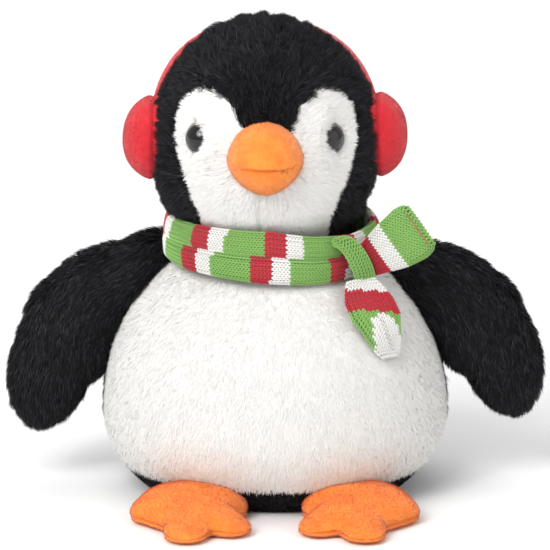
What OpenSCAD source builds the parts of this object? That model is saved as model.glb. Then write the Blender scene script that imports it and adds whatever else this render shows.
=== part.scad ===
// Stuffed toy penguin with earmuffs and a knitted scarf.
// It stands on its base and faces -Y. Left and right are the penguin's own, so its left side is +X.

/* [Body] */
// Half of the body's width at the belly
body_half_width = 104; // [98:1:112]
// Half of the body's depth at the belly
body_half_depth = 94; // [90:1:100]
// Height of the widest part of the belly
belly_z = 50; // [46:1:54]
// Height of the neck seam
neck_z = 162; // [160:1:165]
// Radius of the neck
neck_r = 44; // [40:1:46]

/* [Head] */
// Half of the head's width
head_half_width = 66; // [62:1:68]
// Half of the head's depth
head_half_depth = 62; // [58:1:64]
// Half of the head's height
head_half_height = 74; // [72:1:78]
// Height of the middle of the head
head_z = 216; // [214:1:218]
// How far the head leans to the penguin's right
head_lean = 6; // [0:1:8]

/* [Fabric] */
// Thickness of the plush fabric
fabric = 2.5; // [2:0.1:3]
// Space between a cover and its stuffing
gap = 0.3; // [0.2:0.05:0.5]

/* [Face] */
// Half of the distance between the eyes
eye_spread = 40; // [38:1:45]
// Height of the eyes above the middle of the head
eye_rise = 13; // [10:1:16]
// Radius of an eye's dome
eye_r = 10; // [8:0.5:11]
// Half of the beak's width
beak_half_width = 23.5; // [20:0.5:26]
// How far the beak stands out from the middle of the head
beak_reach = 91; // [84:1:94]

/* [Earmuffs] */
// Radius of an earmuff
muff_r = 26; // [24:1:30]
// Half of an earmuff's thickness
muff_half_depth = 26; // [22:1:28]
// Width of the headband
band_width = 18; // [12:1:24]

/* [Flippers] */
// How far a shoulder is from the middle of the body
shoulder_x = 84; // [83:1:86]
// Height of the shoulders
shoulder_z = 130; // [128:1:131]
// Radius of a flipper's rounded root
shoulder_r = 20; // [18:0.5:21]
// How much higher the left flipper is held, in degrees
left_raise = 7; // [5:1:8]

/* [Feet] */
// Half of the distance between the feet
foot_spread = 50; // [46:1:54]
// Radius of a toe
toe_r = 13; // [12:0.5:13.5]

/* [Scarf] */
// Thickness of the flattened knitted tube
scarf_thick = 6; // [5:0.5:7]
// Width of the scarf where it lies flat
scarf_width = 36; // [32:1:38]

/* [Hidden] */
$fn = 96;

LEFT = 1;
RIGHT = -1;
BIG = 400;

BLACK = [0.09, 0.09, 0.1];
WHITE = [0.95, 0.94, 0.92];
ORANGE = [0.97, 0.56, 0.2];
RED = [0.82, 0.12, 0.17];
GREEN = [0.5, 0.78, 0.36];
FILLING = [0.9, 0.9, 0.86];

// Body: two half ellipsoids that meet at the belly, and a straight neck
body_up = 113;
body_down = 70;
side_seam_y = 8;
base_seam_z = 19;
pouch_r = 45;
pouch_h = 20;

// Head
head_x = -head_lean;
face_half_width = 56;
lobe_r = 20;
lobe_rise = 25;
jaw_half_width = 47;
jaw_rise = -31;
crown_half_width = 20;
mouth_z = 218.4;
beak_root_y = -60;
stem_r = 2.4;
stem_length = 16;
stem_hole_r = 2.8;
washer_r = 9;
washer_thick = 1.4;
washer_depth = 5;

// Earmuffs
muff_reach = 61;
muff_y = 4;
muff_z = 219;
lining = 2;
band_y = 8;
band_thick = 4;

// Flippers
flipper_y = 8;
flipper_lift = 50;
root_clear = 0.6;
body_clear = 0.8;

// Feet: the toes' middles, from the seam that the foot turns on
hinge_y = -64;
foot_lift = 20;
foot_clear = 1.8;
toe_tips = [[-23, -52], [3, -64], [25, -27]];
toe_neck_r = toe_r - 2;
pad_r = 28;
pad_y = -22;
dome_y = -24;
dome_z = -2;
dome_radii = [54, 86, 26];
foot_seam_z = 8;

// Scarf
scarf_x = -2;
scarf_low = 146;
scarf_high = 172;
knot_place = [52, -45, 153];
knot_turn = 50;
knot_radii = [12, 9, 19];
tail_root_r = 6.2;
upper_place = [62, -46, 156];
upper_rise = 37;
upper_length = 42;
lower_place = [54, -56, 138];
lower_turn = 35;
lower_lean = 23;
lower_length = 48;

// Everything on one side of a level, +1 for above and -1 for below
module above(z) translate([-BIG, -BIG, z]) cube([2 * BIG, 2 * BIG, BIG]);
module below(z) translate([-BIG, -BIG, z - BIG]) cube([2 * BIG, 2 * BIG, BIG]);
module behind(y) translate([-BIG, y, -BIG]) cube([2 * BIG, BIG, 2 * BIG]);
module in_front(y) translate([-BIG, y - BIG, -BIG]) cube([2 * BIG, BIG, 2 * BIG]);
module beside(x, side) translate([side > 0 ? x : x - BIG, -BIG, -BIG]) cube([BIG, 2 * BIG, 2 * BIG]);

module ellipsoid(radii) scale(radii / 100) sphere(r = 100);

// ---------------------------------------------------------------- forms, each d inside the outer one

// Whole ellipsoids, of which the body takes the upper half of one and the lower half of the other
module body_upper(d) {
  translate([0, 0, belly_z]) ellipsoid([body_half_width - d, body_half_depth - d, body_up - d]);
}

module body_lower(d) {
  translate([0, 0, belly_z]) ellipsoid([body_half_width - d, body_half_depth - d, body_down - d]);
}

module body_form(d) {
  intersection() {
    body_upper(d);
    above(belly_z);
    below(neck_z);
  }
  intersection() {
    body_lower(d);
    above(max(d, 0));
    below(belly_z);
  }
  translate([0, 0, belly_z]) cylinder(r = neck_r - d, h = neck_z - belly_z);
}

module shoulder_pocket(side) {
  translate([side * shoulder_x, flipper_y, shoulder_z]) sphere(r = shoulder_r + root_clear);
}

module body_skin() {
  difference() {
    body_form(0);
    body_form(fabric);
    shoulder_pocket(LEFT);
    shoulder_pocket(RIGHT);
  }
}

module head_form(d) {
  intersection() {
    translate([head_x, 0, head_z])
      ellipsoid([head_half_width - d, head_half_depth - d, head_half_height - d]);
    above(neck_z + 1.5);
  }
}

// The white face seen from the front: a lobe round each eye over a narrower jaw
module face_outline() {
  translate([head_x, head_z]) {
    for (side = [LEFT, RIGHT]) translate([side * (face_half_width - lobe_r), lobe_rise]) circle(r = lobe_r);
    polygon([[-face_half_width, lobe_rise], [-face_half_width, 0], [-jaw_half_width, jaw_rise],
             [-jaw_half_width, -BIG], [jaw_half_width, -BIG], [jaw_half_width, jaw_rise],
             [face_half_width, 0], [face_half_width, lobe_rise], [0, lobe_rise - 10]]);
  }
}

module face_block() {
  rotate([90, 0, 0]) linear_extrude(height = BIG) face_outline();
}

module crown_block() {
  translate([head_x - crown_half_width, -BIG, 0]) cube([2 * crown_half_width, 2 * BIG, BIG]);
}

// Puts its children on the head's surface at one eye, with +Z straight out
module at_eye(side) {
  across = side * eye_spread;
  deep = -head_half_depth
    * sqrt(1 - pow(eye_spread / head_half_width, 2) - pow(eye_rise / head_half_height, 2));
  normal = [across / pow(head_half_width, 2), deep / pow(head_half_depth, 2),
            eye_rise / pow(head_half_height, 2)];
  translate([head_x + across, deep, head_z + eye_rise])
    rotate([0, acos(normal[2] / norm(normal)), atan2(normal[1], normal[0])]) children();
}

module stem_hole(side) {
  at_eye(side) translate([0, 0, -2 * stem_length]) cylinder(r = stem_hole_r, h = 3 * stem_length, $fn = 48);
}

module head_skin() {
  difference() {
    head_form(0);
    head_form(fabric);
  }
}

// One half of the beak, not yet cut to the head: part is 1 for the upper and -1 for the lower
module beak_half(part, d) {
  upper = part > 0;
  narrower = upper ? 0 : 3.5;
  shorter = upper ? 0 : 6;
  middle = upper ? mouth_z + 2.6 : mouth_z - 1.4;
  radii = [beak_half_width - narrower, beak_reach + beak_root_y - shorter, upper ? 23 : 18];
  intersection() {
    translate([head_x, beak_root_y, middle]) ellipsoid([for (r = radii) r - d]);
    if (upper) above(mouth_z);
    if (!upper) below(mouth_z);
  }
}

module muff_form(side, d) {
  translate([head_x + side * muff_reach, muff_y, muff_z])
    ellipsoid([muff_half_depth - d, muff_r - d, muff_r - d]);
}

// A paddle that hangs from the shoulder, before it is cut to the body's flank
module flipper_paddle(d) {
  translate([24, 2, -16]) rotate([0, 37, 0]) ellipsoid([46 - d, 17 - d, 31 - d]);
  translate([47, 2, -51]) rotate([0, -14, 0]) ellipsoid([27 - d, 14 - d, 47 - d]);
}

// Puts its children at a shoulder, as the left flipper's, and mirrors them for the right
module at_shoulder(side) {
  raise = side == LEFT ? left_raise : 0;
  mirror([side == LEFT ? 0 : 1, 0, 0])
    translate([shoulder_x, flipper_y, shoulder_z]) rotate([0, -raise, 0]) children();
}

// A flipper's paddle, cut to the body's flank
module flipper_form(side, d) {
  difference() {
    at_shoulder(side) flipper_paddle(d);
    body_upper(-body_clear);
  }
}

// One foot seen from above: a round pad with three toes, its heel at the origin
module foot_outline(d) {
  translate([0, pad_y]) circle(r = pad_r - d);
  for (tip = toe_tips) {
    translate(tip) circle(r = toe_r - d);
    translate([0, pad_y]) rotate(atan2(tip[1] - pad_y, tip[0]))
      translate([0, d - toe_neck_r]) square([norm(tip - [0, pad_y]), 2 * (toe_neck_r - d)]);
  }
}

// A foot with a domed top, before it is cut to the body
module foot_pad(side, d) {
  mirror([side == LEFT ? 0 : 1, 0, 0]) translate([foot_spread, hinge_y, 0]) intersection() {
    translate([0, 0, d]) linear_extrude(height = BIG) foot_outline(d);
    translate([0, dome_y, dome_z]) ellipsoid([for (r = dome_radii) r - d]);
  }
}

// The body as it stands in the way of a lifted foot, which leaves room at every angle below that
module foot_room() {
  translate([0, hinge_y, 0]) rotate([foot_lift, 0, 0]) translate([0, -hinge_y, 0]) body_lower(-foot_clear);
}

// ---------------------------------------------------------------- body

module belly_panel() {
  color(WHITE) intersection() {
    body_skin();
    in_front(side_seam_y);
    above(base_seam_z);
  }
}

module back_panel(side) {
  color(BLACK) intersection() {
    body_skin();
    behind(side_seam_y);
    beside(0, side);
    above(base_seam_z);
  }
}

module base_panel() {
  color(BLACK) intersection() {
    body_skin();
    below(base_seam_z);
  }
}

module body_stuffing() {
  color(FILLING) difference() {
    body_form(fabric + gap);
    shoulder_pocket(LEFT);
    shoulder_pocket(RIGHT);
    cylinder(r = pouch_r + gap, h = fabric + gap + pouch_h + 2 * gap);
  }
}

// Bag of plastic pellets that weighs the toy down, a thick disc with a round rim
module pellet_pouch() {
  rim = pouch_h / 2;
  color("tan") translate([0, 0, fabric + gap + rim]) rotate_extrude() {
    translate([0, -rim]) square([pouch_r - rim, pouch_h]);
    intersection() {
      translate([pouch_r - rim, 0]) circle(r = rim);
      translate([0, -rim]) square([pouch_r, pouch_h]);
    }
  }
}

// Blank folded ribbon sewn into the back seam
module care_label() {
  color("white") translate([0, body_half_depth - 0.5, belly_z - 12]) rotate([-62, 0, 0])
    translate([-10, 0.5, 0]) cube([20, 26, 0.8]);
}

// ---------------------------------------------------------------- head

module crown_panel() {
  color(BLACK) intersection() {
    difference() {
      head_skin();
      intersection() {
        face_block();
        in_front(0);
      }
    }
    crown_block();
  }
}

module side_panel(side) {
  color(BLACK) intersection() {
    difference() {
      head_skin();
      intersection() {
        face_block();
        in_front(0);
      }
      crown_block();
    }
    beside(head_x, side);
  }
}

module face_panel(side) {
  color(WHITE) difference() {
    intersection() {
      head_skin();
      face_block();
      in_front(0);
      beside(head_x, side);
    }
    stem_hole(side);
  }
}

module head_stuffing() {
  color(FILLING) difference() {
    head_form(fabric + gap);
    for (side = [LEFT, RIGHT]) at_eye(side) {
      translate([0, 0, -washer_depth - 1]) cylinder(r = washer_r + 1, h = 2 * washer_depth, $fn = 48);
      translate([0, 0, -stem_length - 1]) cylinder(r = stem_hole_r, h = stem_length, $fn = 48);
    }
  }
}

module beak_cover(part) {
  color(ORANGE) difference() {
    beak_half(part, 0);
    beak_half(part, lining);
    head_form(-gap);
  }
}

module beak_stuffing() {
  color(FILLING) difference() {
    union() {
      beak_half(1, lining + gap);
      beak_half(-1, lining + gap);
    }
    head_form(-gap);
  }
}

// Glossy plastic dome on a stem that goes through the fabric
module eye(side) {
  dome_h = 6;
  ball_r = (eye_r * eye_r + dome_h * dome_h) / (2 * dome_h);
  color([0.16, 0.12, 0.09]) at_eye(side) {
    intersection() {
      translate([0, 0, dome_h - ball_r]) sphere(r = ball_r);
      above(0);
    }
    translate([0, 0, -stem_length]) cylinder(r = stem_r, h = stem_length, $fn = 48);
  }
}

module eye_washer(side) {
  color("gainsboro") at_eye(side) translate([0, 0, -washer_depth]) difference() {
    cylinder(r = washer_r, h = washer_thick, $fn = 48);
    translate([0, 0, -1]) cylinder(r = stem_r + 0.05, h = washer_thick + 2, $fn = 48);
  }
}

// ---------------------------------------------------------------- earmuffs

module headband() {
  color(RED) difference() {
    intersection() {
      head_form(-gap - band_thick);
      above(muff_z);
      behind(band_y);
      in_front(band_y + band_width);
    }
    head_form(-gap);
    muff_form(LEFT, -gap);
    muff_form(RIGHT, -gap);
  }
}

module earmuff_cover(side) {
  color(RED) difference() {
    muff_form(side, 0);
    muff_form(side, lining);
    head_form(-gap);
  }
}

module earmuff_lining(side) {
  color(RED) intersection() {
    muff_form(side, lining + gap);
    difference() {
      head_form(-gap - lining);
      head_form(-gap);
    }
  }
}

module earmuff_stuffing(side) {
  color(FILLING) difference() {
    muff_form(side, lining + gap);
    head_form(-2 * gap - lining);
  }
}

// ---------------------------------------------------------------- flippers

// Open where it is sewn to the body
module flipper_skin(side) {
  difference() {
    union() {
      at_shoulder(side) sphere(r = shoulder_r);
      flipper_form(side, 0);
    }
    at_shoulder(side) {
      sphere(r = shoulder_r - lining);
      flipper_paddle(lining);
    }
  }
}

module flipper_front(side) {
  color(BLACK) intersection() {
    flipper_skin(side);
    in_front(flipper_y + 1);
  }
}

module flipper_back(side) {
  color(BLACK) intersection() {
    flipper_skin(side);
    behind(flipper_y + 1);
  }
}

module flipper_stuffing(side) {
  color(FILLING) {
    flipper_form(side, lining + gap);
    translate([side * shoulder_x, flipper_y, shoulder_z]) sphere(r = shoulder_r - lining - gap);
  }
}

// ---------------------------------------------------------------- feet

// Open at the heel, where it is sewn to the body
module foot_skin(side) {
  difference() {
    foot_pad(side, 0);
    foot_pad(side, lining);
    foot_room();
  }
}

module foot_top(side) {
  color(ORANGE) intersection() {
    foot_skin(side);
    above(foot_seam_z);
  }
}

module foot_sole(side) {
  color(ORANGE) intersection() {
    foot_skin(side);
    below(foot_seam_z);
  }
}

module foot_stuffing(side) {
  color(FILLING) difference() {
    foot_pad(side, lining + gap);
    foot_room();
  }
}

// ---------------------------------------------------------------- scarf

// Band round the neck that leans out at its lower edge, grown by d
module scarf_ring(d) {
  inner_low = 59;
  inner_high = 58.5;
  outer_low = inner_low + scarf_thick + 1.5;
  outer_high = inner_high + scarf_thick;
  translate([scarf_x, 0, 0]) rotate_extrude()
    polygon([[inner_low - d, scarf_low + 2 - d], [inner_low + 2, scarf_low - d],
             [outer_low - 2, scarf_low - d], [outer_low + d, scarf_low + 3 - d],
             [outer_low + d - 0.5, scarf_high - 12], [outer_high + d, scarf_high - 2 + d],
             [outer_high - 2, scarf_high + d], [inner_high + 2, scarf_high + d],
             [inner_high - d, scarf_high - 2 + d]]);
}

module scarf_loop() {
  color(GREEN) scarf_ring(0);
}

// Puts its children at a tail's root: +X is the hinge line, -Z runs along the tail
module at_upper_tail() translate(upper_place) rotate([0, -90 - upper_rise, 0]) children();
module at_lower_tail() translate(lower_place) rotate([0, 0, lower_turn]) rotate([-lower_lean, 0, 0]) children();

module tail_root(grow) {
  rotate([0, 90, 0]) cylinder(r = tail_root_r + grow, h = 4 * scarf_width, center = true, $fn = 48);
}

module scarf_knot() {
  color(GREEN) difference() {
    translate(knot_place) rotate([0, 0, knot_turn]) rotate([0, 12, 0]) ellipsoid(knot_radii);
    scarf_ring(gap);
    at_upper_tail() tail_root(gap);
    at_lower_tail() tail_root(gap);
  }
}

// Flat tube of knitting that widens from the knot to its end, with rounded corners
module tail_plate(length, root_width, corner_r) {
  half = scarf_width / 2;
  corner = [for (a = [0:15:90]) corner_r * [cos(a) - 1, 1 - sin(a)]];
  right = [[root_width / 2, -1], [half, -length / 2], for (c = corner) [half + c[0], c[1] - length]];
  left = [for (i = [len(right) - 1:-1:0]) [-right[i][0], right[i][1]]];
  rotate([90, 0, 0]) linear_extrude(height = scarf_thick, center = true) polygon(concat(right, left));
}

module scarf_tail_upper() {
  color(GREEN) at_upper_tail() tail_plate(upper_length, 20, 3);
}

module scarf_tail_lower() {
  color(RED) at_lower_tail() tail_plate(lower_length, 24, 8);
}

belly_panel();
back_panel(LEFT);  // back_panel_left
back_panel(RIGHT);  // back_panel_right
base_panel();
body_stuffing();
pellet_pouch();
care_label();
crown_panel();
side_panel(LEFT);  // side_panel_left
side_panel(RIGHT);  // side_panel_right
face_panel(LEFT);  // face_panel_left
face_panel(RIGHT);  // face_panel_right
head_stuffing();
beak_cover(1);  // beak_upper
beak_cover(-1);  // beak_lower
beak_stuffing();
eye(LEFT);  // eye_left
eye(RIGHT);  // eye_right
eye_washer(LEFT);  // eye_washer_left
eye_washer(RIGHT);  // eye_washer_right
headband();
earmuff_cover(LEFT);  // earmuff_cover_left
earmuff_cover(RIGHT);  // earmuff_cover_right
earmuff_lining(LEFT);  // earmuff_lining_left
earmuff_lining(RIGHT);  // earmuff_lining_right
earmuff_stuffing(LEFT);  // earmuff_stuffing_left
earmuff_stuffing(RIGHT);  // earmuff_stuffing_right
flipper_front(LEFT);  // flipper_front_left
flipper_front(RIGHT);  // flipper_front_right
flipper_back(LEFT);  // flipper_back_left
flipper_back(RIGHT);  // flipper_back_right
flipper_stuffing(LEFT);  // flipper_stuffing_left
flipper_stuffing(RIGHT);  // flipper_stuffing_right
foot_top(LEFT);  // foot_top_left
foot_top(RIGHT);  // foot_top_right
foot_sole(LEFT);  // foot_sole_left
foot_sole(RIGHT);  // foot_sole_right
foot_stuffing(LEFT);  // foot_stuffing_left
foot_stuffing(RIGHT);  // foot_stuffing_right
scarf_loop();
scarf_knot();
scarf_tail_upper();
scarf_tail_lower();
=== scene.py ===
"""Plush penguin: sculpted covers with real pile, domed eyes and a knitted scarf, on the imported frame."""

import math

import bmesh
import bpy
import numpy as np
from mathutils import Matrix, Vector
from mathutils.bvhtree import BVHTree
from mathutils.kdtree import KDTree


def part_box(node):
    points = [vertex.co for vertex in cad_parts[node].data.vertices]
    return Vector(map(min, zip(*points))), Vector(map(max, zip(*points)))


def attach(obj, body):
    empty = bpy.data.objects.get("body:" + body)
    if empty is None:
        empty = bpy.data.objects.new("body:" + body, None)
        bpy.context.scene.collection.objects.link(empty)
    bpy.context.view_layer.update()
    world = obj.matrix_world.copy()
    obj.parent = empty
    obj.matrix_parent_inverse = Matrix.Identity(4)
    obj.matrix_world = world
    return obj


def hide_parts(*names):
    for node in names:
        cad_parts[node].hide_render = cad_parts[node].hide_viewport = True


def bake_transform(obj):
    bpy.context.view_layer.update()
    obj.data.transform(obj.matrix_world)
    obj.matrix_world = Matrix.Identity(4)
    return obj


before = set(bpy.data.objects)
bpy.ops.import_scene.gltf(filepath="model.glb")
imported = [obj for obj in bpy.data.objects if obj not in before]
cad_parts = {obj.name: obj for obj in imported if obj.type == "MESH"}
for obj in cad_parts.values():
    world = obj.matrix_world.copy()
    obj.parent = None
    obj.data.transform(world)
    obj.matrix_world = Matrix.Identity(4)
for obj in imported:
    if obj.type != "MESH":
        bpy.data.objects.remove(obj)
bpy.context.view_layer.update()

MM = 0.001  # every size below is in millimetres, in the row frame
LEFT, RIGHT = 1, -1
SIDE_NAME = {LEFT: "left", RIGHT: "right"}


# ---------------- places from the frame

BODY_Z = 50.0
BODY_HALF_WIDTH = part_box("belly_panel")[1][0] / MM
BODY_HALF_DEPTH = 94.0
BODY_UP, BODY_DOWN = 113.0, 70.0
SIDE_SEAM_Y, BASE_SEAM_Z = 8.0, 19.0
HEAD = np.array([-6.0, 0.0, 216.0])
HEAD_RADII = np.array([66.0, 62.0, 74.0])
NECK_Z = 162.7
EYE_SPREAD, EYE_RISE, EYE_R = 40.0, 13.0, 10.0
BEAK = np.array([-6.0, -60.0, 219.0])
BEAK_UPPER, BEAK_LOWER = [22.6, 31.5, 23.6], [22.6, 29.5, 20.5]  # radii of its halves
MOUTH_DROP = 1.0  # how far the mouth is under the beak's middle
MUFF_REACH, MUFF_Y, MUFF_Z = 61.0, 4.0, 219.0
MUFF_RADII, MUFF_OFFSET = [25.5, 26.5, 26.5], 1.2  # the left muff sits higher, the right one lower
MUFF_SEAM, MUFF_INNER = 7, -16  # along its axis: where cover and lining meet, where the lining ends
BAND_Y, BAND_HALF_WIDTH, BAND_HALF_THICK = 17, 9.0, 2.8
BAND_REACH, BAND_RISE, BAND_POWER = 67.3, 69.3, 0.87  # a slightly pointed arch over the head
SHOULDER = np.array([84.0, 8.0, 130.0])
FLIPPER_RAISE = {LEFT: 7.0, RIGHT: 3.0}  # degrees
FLIPPER_SIZE = {LEFT: 1.0, RIGHT: 1.05}
FOOT_HINGE = np.array([50.0, -64.0, 0.0])
SKIN_GAP = 0.5  # covers lie at least this far outside the CAD stuffing
PILE_FLOOR = 0.2  # no fibre's end is lower than this
PILE_SINK = 0.4  # fibres start this far under their skin


# ---------------- mesh tools

def seeded(name):
    return np.random.default_rng(sum((i + 1) * ord(c) for i, c in enumerate(name)))


def unit(v):
    return v / np.maximum(np.linalg.norm(v, axis=-1, keepdims=True), 1e-9)


def make_object(name, verts, tris, materials, slots=None, normals=None):
    """A mesh from arrays in millimetres; slots give each face's material, normals each vertex's normal."""
    tris = np.asarray(tris, np.int32)
    mesh = bpy.data.meshes.new(name)
    mesh.vertices.add(len(verts))
    mesh.vertices.foreach_set("co", (np.asarray(verts) * MM).astype(np.float32).ravel())
    mesh.loops.add(3 * len(tris))
    mesh.loops.foreach_set("vertex_index", tris.ravel())
    mesh.polygons.add(len(tris))
    mesh.polygons.foreach_set("loop_start", np.arange(0, 3 * len(tris), 3, dtype=np.int32))
    for m in materials:
        mesh.materials.append(m)
    if slots is not None:
        mesh.polygons.foreach_set("material_index", np.asarray(slots, np.int32))
    mesh.update(calc_edges=True)
    mesh.polygons.foreach_set("use_smooth", np.ones(len(tris), bool))
    if normals is not None:
        mesh.normals_split_custom_set_from_vertices(normals.tolist())
    obj = bpy.data.objects.new(name, mesh)
    bpy.context.scene.collection.objects.link(obj)
    return obj


def arrays_of(mesh):
    mesh.calc_loop_triangles()
    verts = np.zeros(3 * len(mesh.vertices))
    mesh.vertices.foreach_get("co", verts)
    tris = np.zeros(3 * len(mesh.loop_triangles), np.int32)
    mesh.loop_triangles.foreach_get("vertices", tris)
    return verts.reshape(-1, 3) / MM, tris.reshape(-1, 3)


def icosphere(level):
    bm = bmesh.new()
    bmesh.ops.create_icosphere(bm, subdivisions=level, radius=1)
    verts = np.array([v.co[:] for v in bm.verts])
    tris = np.array([[v.index for v in f.verts] for f in bm.faces])
    bm.free()
    return verts, tris


def vertex_normals(verts, tris):
    a, b, c = verts[tris[:, 0]], verts[tris[:, 1]], verts[tris[:, 2]]
    face = np.cross(b - a, c - a)
    total = np.zeros_like(verts)
    for k in range(3):
        np.add.at(total, tris[:, k], face)
    return unit(total)


def bell(value, width, power=2):
    return np.exp(-(value / width) ** power)


def powered(value, power):
    return np.sign(value) * np.abs(value) ** power


def steady(x, y, z):
    """A flow that is the same everywhere."""
    return lambda points: np.array([x, y, z]) + 0 * points


def turn(points, axis, degrees):
    a = math.radians(degrees)
    k = unit(np.array(axis, float))
    return (points * math.cos(a) + np.cross(k, points) * math.sin(a)
            + np.outer(points @ k, k) * (1 - math.cos(a)))


def ripple(points, size, seed):
    """A smooth, even noise from -1 to 1 with lumps about that many millimetres across."""
    rng = seeded(seed)
    total = np.zeros(len(points))
    for _ in range(7):
        total += np.sin(points @ (unit(rng.normal(size=3)) * 2 * math.pi / (size * rng.uniform(1.4, 2.6)))
                        + rng.uniform(0, 2 * math.pi))
    return total / 7 * 1.8


def take(verts, tris, keep):
    """The triangles that are kept, with only their own vertices."""
    tris = tris[keep]
    used, back = np.unique(tris, return_inverse=True)
    return verts[used], back.reshape(tris.shape)


def evaluated(obj):
    graph = bpy.context.evaluated_depsgraph_get()
    mesh = obj.evaluated_get(graph).to_mesh()
    out = arrays_of(mesh)
    obj.evaluated_get(graph).to_mesh_clear()
    return out


def over(verts, node):
    """A cover moved out, where it must be, to clear a CAD node."""
    inner, inner_tris = arrays_of(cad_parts[node].data)
    tree = BVHTree.FromPolygons(inner.tolist(), inner_tris.tolist())
    out = verts.copy()
    for n, p in enumerate(verts):
        near, normal, _, _ = tree.find_nearest(p, 25)
        if near is not None:
            proud = (Vector(p) - near).dot(normal)
            if proud < SKIN_GAP:
                out[n] = near + normal * SKIN_GAP
    return out


def melt(forms, voxel, rounds):
    """One skin round several ellipsoids, (centre, radii, degrees about Y) each, with softened creases."""
    ball, ball_tris = icosphere(5)
    verts, tris = [], []
    for n, (centre, radii, degrees) in enumerate(forms):
        verts.append(turn(ball * np.array(radii), (0, 1, 0), degrees) + np.array(centre))
        tris.append(ball_tris + n * len(ball))
    obj = make_object("melting", np.vstack(verts), np.vstack(tris), [])
    remesh = obj.modifiers.new("remesh", "REMESH")
    remesh.mode = "VOXEL"
    remesh.voxel_size = voxel * MM
    soften = obj.modifiers.new("soften", "SMOOTH")
    soften.factor = 0.5
    soften.iterations = rounds
    out = evaluated(obj)
    bpy.data.objects.remove(obj)
    return out


SWELL_FRAMES = 20


def stuff(verts, tris, pressure, cap):
    """Swells a cover by cloth simulation under pressure, up to cap millimetres, then subdivides it once."""
    obj = make_object("stuffing_run", verts, tris, [])
    cloth = obj.modifiers.new("cloth", "CLOTH")
    cloth.settings.quality = 5
    cloth.settings.use_pressure = True
    cloth.settings.uniform_pressure_force = pressure
    cloth.settings.effector_weights.gravity = 0
    cloth.point_cache.frame_start = 1
    cloth.point_cache.frame_end = SWELL_FRAMES
    for f in range(1, SWELL_FRAMES + 1):
        bpy.context.scene.frame_set(f)
    moved, _ = evaluated(obj)
    bpy.context.scene.frame_set(1)
    obj.modifiers.clear()
    step = moved - verts
    far = np.linalg.norm(step, axis=1, keepdims=True)
    verts = verts + step * np.minimum(1, cap / np.maximum(far, 1e-9))
    obj.data.vertices.foreach_set("co", (verts * MM).astype(np.float32).ravel())
    fine = obj.modifiers.new("fine", "SUBSURF")
    fine.levels = 1
    out = evaluated(obj)
    bpy.data.objects.remove(obj)
    return out


# ---------------- materials

def principled(name, colour=None, sheen=0.0, specular=0.5):
    mat = bpy.data.materials.new(name)
    mat.use_nodes = True
    shader = mat.node_tree.nodes["Principled BSDF"]
    if colour is not None:
        shader.inputs["Base Color"].default_value = (*colour, 1)
    shader.inputs["Sheen Weight"].default_value = sheen
    shader.inputs["Specular IOR Level"].default_value = specular
    return mat, mat.node_tree.nodes, mat.node_tree.links, shader


def noise(nodes, links, scale, detail):
    """A noise texture in object space, at that many lumps a metre."""
    tex = nodes.new("ShaderNodeTexNoise")
    tex.inputs["Scale"].default_value = scale
    tex.inputs["Detail"].default_value = detail
    links.new(nodes.new("ShaderNodeTexCoord").outputs["Object"], tex.inputs["Vector"])
    return tex.outputs["Fac"]


def span(nodes, links, value, low, high):
    """value, from 0 to 1, spread over low to high."""
    node = nodes.new("ShaderNodeMapRange")
    node.inputs["To Min"].default_value = low
    node.inputs["To Max"].default_value = high
    links.new(value, node.inputs["Value"])
    return node.outputs["Result"]


def bump(nodes, links, shader, height, strength, distance):
    node = nodes.new("ShaderNodeBump")
    node.inputs["Strength"].default_value = strength
    node.inputs["Distance"].default_value = distance * MM
    links.new(height, node.inputs["Height"])
    links.new(node.outputs["Normal"], shader.inputs["Normal"])


def strand(name, colour, rough, sheen=0.0, specular=0.4):
    """Fibre of the pile: one even colour each, with its gloss broken up along it."""
    mat, nodes, links, shader = principled(name, colour, sheen, specular)
    shader.inputs["Sheen Roughness"].default_value = 0.4
    links.new(span(nodes, links, noise(nodes, links, 900, 2), rough - 0.12, rough + 0.12),
              shader.inputs["Roughness"])
    return mat


def fabric(name, dark, light, lumps, grain, depth, rough=0.85, sheen=0.25):
    """Cloth whose colour drifts between two tones, with a fine raised grain."""
    mat, nodes, links, shader = principled(name, None, sheen, 0.2)
    ramp = nodes.new("ShaderNodeValToRGB")
    for element, colour, place in zip(ramp.color_ramp.elements, (dark, light), (0.3, 0.7)):
        element.color = (*colour, 1)
        element.position = place
    links.new(noise(nodes, links, lumps, 6), ramp.inputs["Fac"])
    links.new(ramp.outputs["Color"], shader.inputs["Base Color"])
    fine = noise(nodes, links, grain, 3)
    links.new(span(nodes, links, fine, rough - 0.1, min(rough + 0.1, 1)), shader.inputs["Roughness"])
    bump(nodes, links, shader, fine, 0.6, depth)
    return mat


def shades(name, colours, rough, sheen=0.0, specular=0.4):
    return [strand(f"{name}_{n}", c, rough, sheen, specular) for n, c in enumerate(colours)]


BLACK_SKIN = fabric("black_backing", (0.003, 0.003, 0.0035), (0.006, 0.006, 0.007), 60, 1500, 0.3,
                    0.9, 0.0)
WHITE_SKIN = fabric("white_backing", (0.88, 0.865, 0.835), (0.93, 0.92, 0.895), 60, 1500, 0.3)
ORANGE_SKIN = fabric("orange_backing", (0.86, 0.22, 0.025), (0.98, 0.33, 0.05), 90, 1100, 0.35,
                     0.8, 0.4)
RED_SKIN = fabric("red_velour", (0.62, 0.012, 0.025), (0.78, 0.03, 0.045), 70, 1800, 0.2, 0.75, 0.5)
# The three darkest are the fur's own tones; the lightest grey, strewn at random, is painted sheen standing
# for fibres that catch the light.
BLACK_PILE = shades("black_pile", [(0.003, 0.003, 0.0035), (0.006, 0.006, 0.007),
                                   (0.011, 0.011, 0.014), (0.04, 0.04, 0.048)], 0.42, 0.0, 0.13)
WHITE_PILE = shades("white_pile", [(0.90, 0.885, 0.855), (0.93, 0.92, 0.895), (0.95, 0.94, 0.92)],
                    0.85, 0.15)
ORANGE_PILE = shades("orange_pile", [(0.88, 0.235, 0.03), (0.96, 0.31, 0.05), (1.0, 0.40, 0.09)],
                     0.7, 0.2)
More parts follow.
